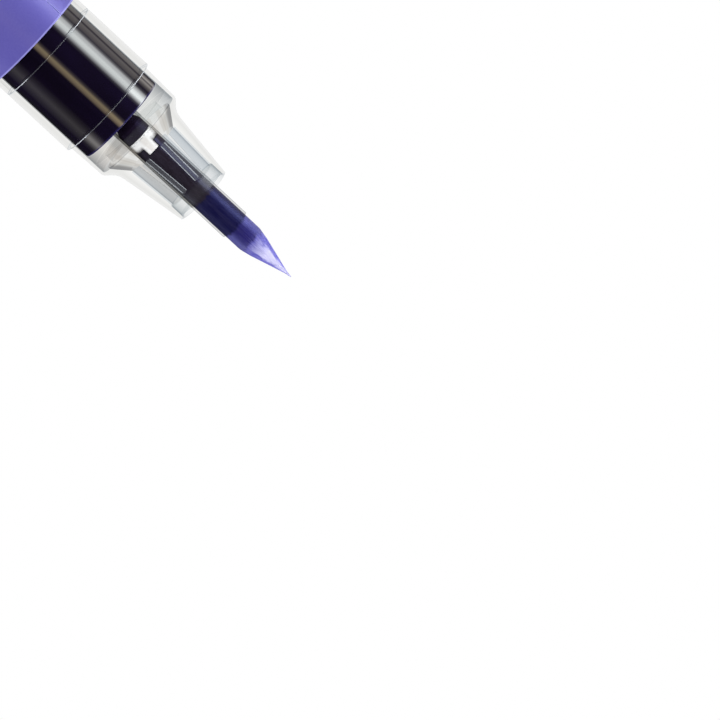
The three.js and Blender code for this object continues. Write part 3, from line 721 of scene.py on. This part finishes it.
def coil(name, surface):
    """A compression spring with closed ends, from 0 up to Height, of Turns turns of wire of radius Wire."""
    labels = ("Turns", "Radius", "Height", "Wire")
    tree, node = new_form(name, *((label, "NodeSocketFloat") for label in labels))
    turns, radius, height, wire = (node("NodeGroupInput", out=label) for label in labels)
    line = node("GeometryNodeCurveSpiral", {
        "Resolution": 40, "Rotations": turns, "Start Radius": radius, "End Radius": radius, "Height": 0.0,
    })
    rise = node("ShaderNodeFloatCurve", {"Value": node("GeometryNodeSplineParameter", out="Factor")})
    pitch = rise.node.mapping.curves[0]
    for x, y in ((0.12, 0.055), (0.88, 0.945)):
        pitch.points.new(x, y)
    rise.node.mapping.update()
    lift = node("ShaderNodeCombineXYZ", {"Z": node(MATH, (rise, height), operation="MULTIPLY")})
    wound = node("GeometryNodeSetPosition", {"Geometry": line, "Offset": lift})
    section = node("GeometryNodeCurvePrimitiveCircle", {"Resolution": 12, "Radius": wire})
    swept = node("GeometryNodeCurveToMesh", {"Curve": wound, "Profile Curve": section, "Fill Caps": True})
    smooth = node("GeometryNodeSetShadeSmooth", {"Geometry": swept, "Shade Smooth": True})
    finish_form(node, smooth, surface)
    return tree


# Cap and rear

def cap_shell():
    """Closed shell: a flat end to stand on, a plain wall and a fluted band at the mouth."""
    wall, bore, foot, cup = CAP_BAND - 0.15, NECK + 0.1, 5.8, 5.74
    land, stop = wall + 0.05, bore - 0.5
    top = high("cap_shell")
    band, step, cup_top, floor, recess = top - 3, top - 9.85, 4.0, 1.6, 0.12
    shell = turned("cap_wall", [
        (0, recess), (foot - 0.4, recess, 0.3), (foot, 0, 0.3), (wall, 0, 1.0), (wall, band - 0.15, 0.1),
        (land, band, 0.05), (land, top - 0.15, 0.05), (wall, top, 0.06), (bore, top, 0.1),
        (bore, step, 0.2), (stop, step - 0.5), (stop, cup_top), (cup, cup_top), (cup, floor), (0, floor),
    ])
    flute = block_on_arc("flute", wall - 0.1, CAP_BAND, 0, radians(0.95), band + 0.12, top - 0.25, 0.06, 4)
    formed(flute, repeat_round_axis("cap_flutes", LAVENDER), Count=GRIPS, Phase=0.0)
    return dress(joined("cap_shell_moulding", shell, flute), LAVENDER, "cap_shell", "cap")


def cap_liner():
    bottom, top, outer = *span("cap_liner"), reach("cap_liner")
    floor = bottom + 1.2
    liner = turned("cap_liner_cup", [
        (0, bottom), (outer, bottom, 0.15), (outer, top, 0.12), (outer - 0.75, top, 0.25),
        (outer - 1.0, floor, 0.4), (0, floor),
    ])
    return dress(liner, WHITE, "cap_liner", "cap")


def end_plug():
    """Plug with the spigot that the cap is posted on, and a flange as wide as the barrel."""
    bottom, top = span("end_plug")
    recess, floor, flange, rear = bottom + 0.1, bottom + 1.2, top - SPIGOT, top - SPIGOT + 2
    foot, hole, skirt = 4.9, BORE - 1.19, BORE - 0.04
    plug = turned("end_plug_moulding", [
        (0, recess), (foot - 0.3, recess, 0.2), (foot, bottom, 0.2), (NECK - 0.08, bottom, 0.5),
        (NECK, flange, 0.08), (BARREL, flange, 0.1), (BARREL, rear, 0.06), (skirt, rear),
        (skirt, top, 0.3), (hole, top, 0.1), (hole, floor, 0.3), (0, floor),
    ])
    return dress(plug, LAVENDER, "end_plug")


# Case

def barrel():
    bottom, lap = low("barrel"), SEAM_Z - LAP_LENGTH - 0.2
    tube_wall = turned("barrel_tube", [
        (BORE, bottom, 0.08), (BARREL, bottom, 0.08), (BARREL, SEAM_Z, 0.11),
        (LAP, SEAM_Z, 0.05), (LAP, lap), (BORE, lap),
    ])
    dress(tube_wall, CLEAR, "barrel")
    return clear_faces(tube_wall, lambda r, z: r < BARREL - 0.3 and z > lap - 0.1, [SEAM_Z])


def label():
    """Film wrapped once round the barrel, its last edge lying over its first."""
    bottom, top = span("label")
    film, lift, climb, start, over = 0.055, 0.01, 0.1, radians(233), radians(12)
    rows = [bottom, bottom + 0.12, bottom + 0.3, (bottom + top) / 2, top - 0.3, top - 0.12, top]
    steps, n = 300, len(rows)
    points, faces, cut = [], [], []
    turn = 2 * pi + over
    for i in range(steps + 1):
        share = i / steps
        a = start - over + turn * share
        climbed = (share * turn - (turn - over) * (1 - climb)) / (climb * turn)
        inner = BARREL + lift + film * min(1, max(0, climbed))
        for k, z in enumerate(rows):
            for r in (inner, inner + film):
                points.append((r * cos(a), r * sin(a), z))
                cut.append(1.0 if i == steps or k in (0, 1, n - 2, n - 1) else 0.0)

    def at(i, k, side):
        return (i * n + k) * 2 + side

    for i in range(steps):
        for k in range(n - 1):
            faces.append((at(i, k, 1), at(i + 1, k, 1), at(i + 1, k + 1, 1), at(i, k + 1, 1)))
            faces.append((at(i, k, 0), at(i, k + 1, 0), at(i + 1, k + 1, 0), at(i + 1, k, 0)))
        for k in (0, n - 1):
            faces.append((at(i, k, 0), at(i, k, 1), at(i + 1, k, 1), at(i + 1, k, 0)))
    for i in (0, steps):
        for k in range(n - 1):
            faces.append((at(i, k, 0), at(i, k, 1), at(i, k + 1, 1), at(i, k + 1, 0)))
    wrap = solid("label_wrap", points, faces)
    mark = wrap.data.attributes.new("cut_edge", "FLOAT", "POINT")
    mark.data.foreach_set("value", cut)
    return dress(wrap, FILM, "label")


def nose_section():
    """Clear shell with the grip zone, the neck, the shoulder and the tapered snout."""
    rear, seam, lap = SEAM_Z - LAP_LENGTH, SEAM_Z + SEAM_GAP, LAP - 0.04
    shell = turned("nose_shell", [
        (BORE, rear), (lap, rear, 0.1), (lap, seam),
        (BARREL, seam, 0.08), (BARREL, STEP_Z, 0.1), (NECK, STEP_Z, 0.08),
        (NECK_TOP, CORNER_Z, 0.85), (ROOT, ROOT_Z, 2.5), (TIP_RIM, FRONT_Z, 0.12), (BUSH_SEAT, FRONT_Z, 0.06),
        (BUSH_SEAT, BUSH_SEAT_Z), (GUIDE_TIP, BUSH_SEAT_Z, 0.05), (GUIDE_ROOT, CONE_TOP_Z, 0.4),
        (INNER_CONE, INNER_Z + 0.3, 0.15), (INNER_CONE, INNER_Z, 0.05), (BORE, INNER_Z, 0.1),
    ])
    dress(shell, CLEAR, "nose_section")
    return clear_faces(shell, lambda r, z: z < SEAM_Z + SEAM_GAP / 2, [STEP_Z])


def guide_ribs():
    """Slim ribs that steady the sleeve inside the snout."""
    bottom, top = CONE_TOP_Z + 0.1, BUSH_SEAT_Z - 0.1
    rear, front = SLEEVE + 0.65, SLEEVE + 0.1
    outline = [(GUIDE_ROOT + 0.2, bottom), (GUIDE_TIP + 0.2, top), (front, top - 0.12), (rear, bottom + 0.12)]
    half, soft = 0.42, 0.12
    points, faces = [], []
    middle = Vector([sum(side) / 4 for side in zip(*outline)])
    for y, inset in ((-half, soft), (-half + soft, 0), (half - soft, 0), (half, soft)):
        for r, z in outline:
            pull = (middle - Vector((r, z))).normalized() * inset
            points.append((r + pull.x, y, z + pull.y))
    for k in range(3):
        for i in range(4):
            a, b = 4 * k + i, 4 * k + (i + 1) % 4
            faces.append((a, b, b + 4, a + 4))
    faces += [(0, 1, 2, 3), (12, 13, 14, 15)]
    rib = solid("guide_ribs", points, faces)
    formed(rib, repeat_round_axis("ribs_round_snout", RIB), Count=RIBS, Phase=radians(3))
    bevels = (2, 10)
    dress_faces(rib, RIB_EDGE, lambda face: face.index % len(faces) in bevels)
    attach(rib, "marker")
    return rib


def front_bushing():
    node = "front_bushing"
    ring = tube("front_bushing_ring", RUN, reach(node), *span(node), 0.1)
    return dress(ring, BUSHING, node)


# Tank

def groove(seal, fillet=0.0):
    """The corners of the groove that an O-ring lies in."""
    middle, half = sum(span(seal)) / 2, 0.55
    rear, front = middle - half, middle + half
    return (BOSS, rear, fillet), (GROOVE, rear, fillet), (GROOVE, front, fillet), (BOSS, front, fillet)


def o_ring(name, node):
    middle, steps = sum(span(node)) / 2, 20
    turns = [2 * pi * i / steps for i in range(steps)]
    section = [(SEAL_MIDDLE + SEAL_WIRE * cos(a), middle + SEAL_WIRE * sin(a)) for a in turns]
    return dress(turned(name, section, 96), RUBBER, node)


def tank():
    bottom, top = span("tank")
    wall = turned("tank_tube", [
        (TANK_BORE, bottom, 0.1), (TANK, bottom, 0.15), (TANK, top, 0.25), (TANK_BORE, top, 0.1),
    ])
    return dress(wall, INK, "tank")


def tank_plug():
    bottom, top = span("tank_plug")
    flange = bottom + 1.5
    plug = turned("tank_plug_moulding", [
        (0, bottom), (TANK, bottom, 0.15), (TANK, flange, 0.1), (BOSS, flange),
        *groove("tank_plug_seal", 0.05), (BOSS, top, 0.3), (0, top),
    ])
    return dress(plug, WHITE, "tank_plug")


def foam_pad():
    """Foam disc between the end plug and the tank, held flat on both faces and swollen at its rim."""
    bottom, top, outer = *span("cushion_pad"), reach("cushion_pad")
    face, side = outer - 0.45, outer - 0.05
    pad = turned("foam_pad", [
        (0, bottom), (face, bottom, 0.3), (side, bottom + 0.5, 0.5), (outer, (bottom + top) / 2, 1.2),
        (side, top - 0.5, 0.5), (face, top, 0.3), (0, top),
    ])
    dress(pad, FOAM, "cushion_pad")
    return pad


def mixing_ball(letter):
    node = "mixing_ball_" + letter
    corner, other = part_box(node)
    middle, radius = (corner + other) / (2 * MM), (other.x - corner.x) / (2 * MM)
    rows = 32
    outline = [(radius * sin(pi * i / rows), -radius * cos(pi * i / rows)) for i in range(rows + 1)]
    points, faces = turned_points(outline, 64)
    ball = solid(node + "_steel", [Vector(p) + middle for p in points], faces)
    return dress(ball, BALL, node, "ball_" + letter)


# Valve

def valve_housing():
    """Clear housing that closes the tank: flange, sleeve socket, seat and spring chamber with its ports."""
    top = high("valve_housing")
    flange, bottom = top - 1.4, low("valve_housing")
    seat_top, seat = top - 3.2, top - 4.2
    boss, wall, hole = flange - 3.4, CHAMBER + 0.7, 1.1
    housing = turned("valve_housing_moulding", [
        (RUN, seat_top), (hole, seat_top, 0.05), (hole, seat, 0.05), (CHAMBER, seat, 0.1),
        (CHAMBER, bottom, 0.1), (wall, bottom, 0.15), (wall, boss, 0.1), (BOSS, boss, 0.2),
        *groove("housing_seal"), (BOSS, flange), (TANK, flange, 0.08), (TANK, top, 0.1), (RUN, top, 0.1),
    ])
    ports = []
    lift = Matrix.Translation((0, 0, (boss + high("spring_retainer")) / 2 * MM))
    for i in range(4):
        port = turned("port", [(0, 0), (0.7, 0), (0.7, 5), (0, 5)], 32)
        spin = Matrix.Rotation((i + 0.5) * pi / 2, 4, "Z") @ Matrix.Rotation(pi / 2, 4, "Y")
        port.data.transform(lift @ spin @ Matrix.Translation((0, 0, PIN * MM)))
        ports.append(port)
    cutter = joined("ports", *ports)
    cut = housing.modifiers.new("ports", "BOOLEAN")
    cut.operation, cut.object, cut.solver = "DIFFERENCE", cutter, "EXACT"
    keep_modified(housing)
    bpy.data.objects.remove(cutter)
    dress(housing, FLANGE, "valve_housing")
    return pressed_ends(housing, flange - 0.05)


def tank_gasket():
    node = "tank_gasket"
    gasket = tube("tank_gasket_ring", TANK - 1.7, TANK, *span(node), 0.12)
    dress(gasket, SILICONE, node)
    return pressed_ends(gasket, low(node) - 0.05)


def spring_retainer():
    node = "spring_retainer"
    disc = tube("spring_retainer_disc", PIN + 0.3, reach(node), *span(node), 0.1)
    return dress(disc, WHITE, node)


def valve_spring():
    """Closed-end spring, built at rest; in the marker it shortens with the plunger's travel when the nib is
    pressed.
    """
    wire, node = 0.2, "valve_spring"
    bottom, top = low(node) + wire, high(node) - wire
    spring = new_object("valve_spring_coil", bpy.data.meshes.new("valve_spring_coil"))
    radius, height = (reach(node) - wire) * MM, (top - bottom) * MM
    formed(spring, coil("closed_end_spring", WIRE), Turns=7.0, Radius=radius, Height=height, Wire=wire * MM)
    spring.data.transform(Matrix.Translation((0, 0, bottom * MM)))
    dress(spring, WIRE, node)
    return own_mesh(spring)


def valve_plunger():
    bottom, top = span("valve_plunger")
    head_top = low("valve_seal") - 0.05
    head = head_top - 1.4
    plunger = turned("valve_plunger_moulding", [
        (0, bottom), (PIN, bottom, 0.25), (PIN, head, 0.1), (HEAD, head, 0.1), (HEAD, head_top, 0.08),
        (STEM, head_top, 0.1), (STEM, top, 0.15), (0, top),
    ], 96)
    return dress(plunger, WHITE, "valve_plunger", "nib_unit")


def valve_seal():
    node = "valve_seal"
    washer = tube("valve_seal_washer", STEM + 0.04, HEAD, *span(node), 0.06)
    return dress(washer, RUBBER, node, "nib_unit")


# Nib unit

def ink_feed():
    bottom, top = span("ink_feed")
    socket, socket_end = STEM + 0.04, bottom + 1.5
    feed = turned("ink_feed_wick", [
        (0, socket_end), (socket, socket_end), (socket, bottom, 0.05), (FEED - 0.4, bottom, 0.05),
        (FEED, bottom + 0.95, 0.1), (FEED, top, 0.05), (0, top),
    ])
    return dress(feed, WICK, "ink_feed", "nib_unit")


def nib_holder():
    """White crown: a disc with a hole for the ink, and three fingers that grip the nib."""
    bottom, top = span("nib_holder")
    disc_top = top - 1.05
    disc = tube("crown_disc", 0.6, FEED, bottom, disc_top, 0.05)
    fingers = [
        block_on_arc("finger", FEED - 0.44, FEED - 0.02, middle, FINGER_HALF, disc_top - 0.04, top, 0.12)
        for middle in FINGER_ANGLES
    ]
    return dress(joined("nib_holder_crown", disc, *fingers), CROWN, "nib_holder", "nib_unit")


def strand(a, z):
    """Depth of the valleys between the fibres, from 0 to 1, at an angle and a height."""
    drift = 0.35 * sin(0.9 * z + 2 * a) + 0.2 * sin(2.3 * z - 3 * a)
    fine = 0.5 + 0.5 * sin(46 * a + 2.2 * drift)
    broad = 0.5 + 0.5 * sin(17 * a - 1.6 * drift + 1.3)
    return 0.65 * fine * fine + 0.35 * broad


def brush_nib():
    """Fibre nib, cylindrical in the sleeve and drawn out to a point, with the fibres as fine ridges."""
    bottom, point, coarse, fine, sides = low("brush_nib"), 0.06, 0.35, 0.12, 276
    line = rounded([
        (NIB, bottom, 0.1), (NIB, TIP_Z - 7.3, 2.5), (1.54, TIP_Z - 5.7, 1.5), (0.18, TIP_Z - 0.9, 0.8),
        (point, TIP_Z - 0.06),
    ])
    heights = [bottom + 0.02, bottom + 0.12]
    while heights[-1] < TIP_Z - 0.06:
        heights.append(heights[-1] + (coarse if heights[-1] < TIP_Z - 11 else fine))
    heights[-1] = TIP_Z - 0.05
    notch, ridges = high("nib_holder") + 0.05, FRONT_Z + 4
    heights += [notch - 0.02, notch + 0.02]
    heights.sort()

    def radius(z):
        for p, q in zip(line[1:], line[2:]):
            if p.y <= z <= q.y and q.y > p.y:
                return p.x + (q.x - p.x) * (z - p.y) / (q.y - p.y)
        return NIB if z < TIP_Z - 8 else point

    points, faces = [(0, 0, heights[0])], []
    for z in heights:
        for i in range(sides):
            a = 2 * pi * i / sides
            r = radius(z)
            if z > ridges:
                r -= 0.02 * min(1, (z - ridges) / 2) * min(1, r / 1.2) * strand(a, z)
            if z < notch:
                off = min(abs((a - m + pi) % (2 * pi) - pi) for m in FINGER_ANGLES)
                if off < FINGER_HALF + radians(1.8):
                    r = FEED - 0.5
            points.append((r * cos(a), r * sin(a), z))
    points.append((0, 0, TIP_Z))
    for k in range(len(heights) - 1):
        for i in range(sides):
            a, b = 1 + k * sides + i, 1 + k * sides + (i + 1) % sides
            faces.append((a, b, b + sides, a + sides))
    last = 1 + (len(heights) - 1) * sides
    for i in range(sides):
        faces.append((0, 1 + (i + 1) % sides, 1 + i))
        faces.append((len(points) - 1, last + i, last + (i + 1) % sides))
    nib = solid("brush_nib_fibre", points, faces, radians(50))
    return dress(nib, FIBRE, "brush_nib", "nib_unit")


def nib_sleeve():
    node = "nib_sleeve"
    bottom, top = span(node)
    sleeve = turned("nib_sleeve_tube", [
        (SLEEVE_BORE, bottom, 0.08), (SLEEVE, bottom, 0.08), (SLEEVE, FRONT_Z), (SLEEVE, top, 0.08),
        (SLEEVE_BORE, top, 0.08), (SLEEVE_BORE, FRONT_Z),
    ])
    dress(sleeve, TUBE, node, "nib_unit")
    return dress_faces(sleeve, COVERED_TUBE, lambda face: face.center.z < FRONT_Z * MM)


# Studio

def towards(angle, rise=0):
    """A direction, as an angle from -Y towards -X and a rise above the level, in degrees."""
    a, e = radians(angle), radians(rise)
    return Vector((-sin(a) * cos(e), -cos(a) * cos(e), sin(e)))


def place_camera():
    """The photograph's view: from slightly behind the nib, the marker running down to the right."""
    back, roll = radians(9.3), radians(42.8)
    forward = Vector((0, cos(back), sin(back)))
    along, across = Vector((0, -sin(back), cos(back))), Vector((-1, 0, 0))
    right = cos(roll) * along + sin(roll) * across
    up = -sin(roll) * along + cos(roll) * across
    barrel_pixels, half_picture, tip_x, tip_y = 116.25, 360, 291, 277
    distance, pixel = 670, 15 / barrel_pixels
    beside, above = (tip_x - half_picture) * pixel, (half_picture - tip_y) * pixel
    target = Vector((0, 0, TIP_Z)) - right * beside - up * above
    lens = bpy.data.cameras.new("camera")
    lens.sensor_width = 36
    lens.lens = lens.sensor_width / 2 * distance / (half_picture * pixel)
    lens.clip_start, lens.clip_end = 0.01, 20
    camera = new_object("camera", lens)
    turn = Matrix((right, up, -forward)).transposed()
    camera.matrix_world = Matrix.Translation((target - forward * distance) * MM) @ turn.to_4x4()
    scene.camera = camera


def soft_light(name, middle, angle, rise, distance, width, height, power):
    """A soft box that looks at the marker's axis, at the height middle."""
    lamp = bpy.data.lights.new(name, "AREA")
    lamp.shape, lamp.size, lamp.size_y = "RECTANGLE", width * MM, height * MM
    lamp.energy = power
    light = new_object(name, lamp)
    way = towards(angle, rise)
    place = Matrix.Translation((Vector((0, 0, middle)) + way * distance) * MM)
    light.matrix_world = place @ way.to_track_quat("Z", "Y").to_matrix().to_4x4()
    light.visible_camera = False
    light.visible_glossy = False


def white_studio():
    """White surroundings. The glossy surfaces mirror a ring of soft boxes and dark gaps round the marker."""
    world = bpy.data.worlds.new("white_studio")
    scene.world = world
    world.use_nodes = True
    world.node_tree.nodes.clear()
    node = partial(add, world.node_tree)
    way = node("ShaderNodeTexCoord", out="Generated")
    x, y, z = (node("ShaderNodeSeparateXYZ", (way,), axis) for axis in "XYZ")
    boxes = (
        (-180, 0.003), (-125, 0.003), (-108, 0.022), (-92, 0.05), (-78, 0.022), (-64, 0.003),
        (-18, 0.003), (-13, "#746753"), (-6, "#938567"), (-1, "#46403A"), (5, 0.003), (48, 0.004),
        (54, 0.05), (60, "#A9ACAD"), (66, "#E9EFEF"), (74, "#F1F7F7"), (80, "#D0D4D5"), (85, "#C6C9CA"),
        (91, 0.16), (97, 0.04), (104, "#53504C"), (119, "#5D5A55"), (125, "#2E2C2A"), (129, "#2E2C2A"),
        (133, "#54514D"), (149, "#4E4B48"), (165, 0.03), (180, 0.01),
    )
    place = node(RANGE, (angle_from_front(node, x, y), -pi, pi, 0, 1))
    ring = node(RAMP, (place,), stops=[((a + 180) / 360, shade) for a, shade in boxes])
    level = node(MATH, (z,), operation="ABSOLUTE")
    fade = node(RANGE, (level, 0.55, 0.95, 1, 0.15), **SMOOTHLY)
    mirrored = node(MIX, {0: fade, 6: "#262626", 7: ring}, **AS_COLOUR)
    white = node("ShaderNodeBackground", ("#FFFFFF", 1.0))
    fill = node("ShaderNodeBackground", ("#F4F5FA", 0.3))
    shown = node("ShaderNodeBackground", (mirrored, 14.0))
    glossy, camera = (node("ShaderNodeLightPath", out=kind) for kind in ("Is Glossy Ray", "Is Camera Ray"))
    lit = node("ShaderNodeMixShader", (glossy, fill, shown))
    seen = node("ShaderNodeMixShader", (camera, lit, white))
    node("ShaderNodeOutputWorld", (seen,))


def matt_floor_paint(node):
    """Matt pale paint, lit to white away from the marker, so that no horizon shows."""
    paint = node(MIX, {0: uneven(node, 40, 0, 1), 6: "#E9E9E8", 7: "#EFEFEE"}, **AS_COLOUR)
    shaded = node("ShaderNodeBsdfDiffuse", {"Color": paint})
    place = node("ShaderNodeTexCoord", out="Object")
    distance = node("ShaderNodeVectorMath", (place,), "Value", operation="LENGTH")
    far = node(RANGE, (distance, 40 * MM, 420 * MM, 0.3, 1), **SMOOTHLY)
    return node("ShaderNodeMixShader", (far, shaded, node("ShaderNodeEmission", ("#FFFFFF", 1.0))))


def pale_floor():
    """Floor that takes the marker's shadow."""
    half = 900
    corners = [(-half, -half, 0), (half, -half, 0), (half, half, 0), (-half, half, 0)]
    floor = solid("floor", corners, [(0, 1, 2, 3)])
    floor.data.materials.append(material(matt_floor_paint, "matt_pale_floor"))


place_camera()
white_studio()
soft_light("key_soft_box", 110, 68, 12, 420, 220, 320, 0.9)
soft_light("fill_soft_box", 110, -95, 5, 450, 200, 300, 1.35)
soft_light("nib_soft_box", 145, 8, 48, 260, 160, 160, 0.63)
pale_floor()

for build in (
    cap_shell, cap_liner, end_plug, barrel, label, nose_section, guide_ribs, front_bushing, tank, tank_plug,
    partial(o_ring, "tank_plug_o_ring", "tank_plug_seal"), foam_pad,
    partial(mixing_ball, "a"), partial(mixing_ball, "b"),
    valve_housing, partial(o_ring, "housing_o_ring", "housing_seal"), tank_gasket, spring_retainer,
    valve_spring, valve_plunger, valve_seal, ink_feed, nib_holder, nib_sleeve, brush_nib,
):
    build()

scene.cycles.transparent_max_bounces = 32
scene.cycles.min_transparent_bounces = 16
scene.cycles.sample_clamp_direct = 3
scene.cycles.sample_clamp_indirect = 0.9
scene.view_settings.view_transform = "Standard"
